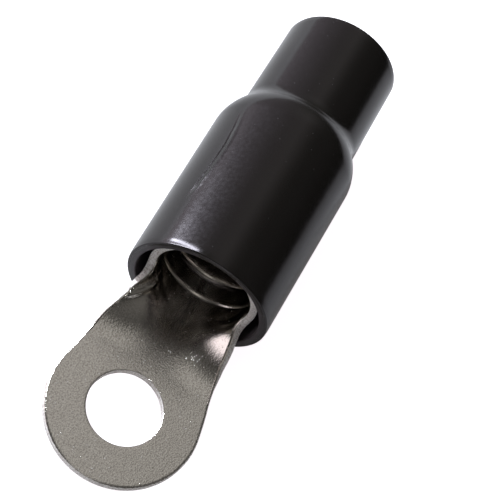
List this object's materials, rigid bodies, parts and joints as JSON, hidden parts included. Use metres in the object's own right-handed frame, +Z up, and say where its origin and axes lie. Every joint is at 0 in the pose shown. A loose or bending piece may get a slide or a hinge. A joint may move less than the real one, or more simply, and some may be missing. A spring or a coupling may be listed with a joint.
{
  "type": "ring terminal",
  "caption": "Ring terminal rolled from one piece of plated sheet, with a flat ring tongue, a crimp barrel and a loose black moulded boot over the barrel.",
  "frame": {"origin": "centre of the stud hole on the tongue's upper face", "axes": "+Z up along the stud, +X along the barrel towards the cable"},
  "size_m": [0.06, 0.0176, 0.0176],
  "materials": {
    "plated_metal": "satin nickel plate",
    "vinyl": "glossy"
  },
  "bodies": {
    "lug": {"terminal": "plated_metal"},
    "sleeve": {"boot": "vinyl"}
  },
  "joints": [
    {"name": "boot_slide", "type": "slide", "parent": "lug", "child": "sleeve", "axis": [1, 0, 0], "range_m": [-0.001, 0.022]}
  ]
}
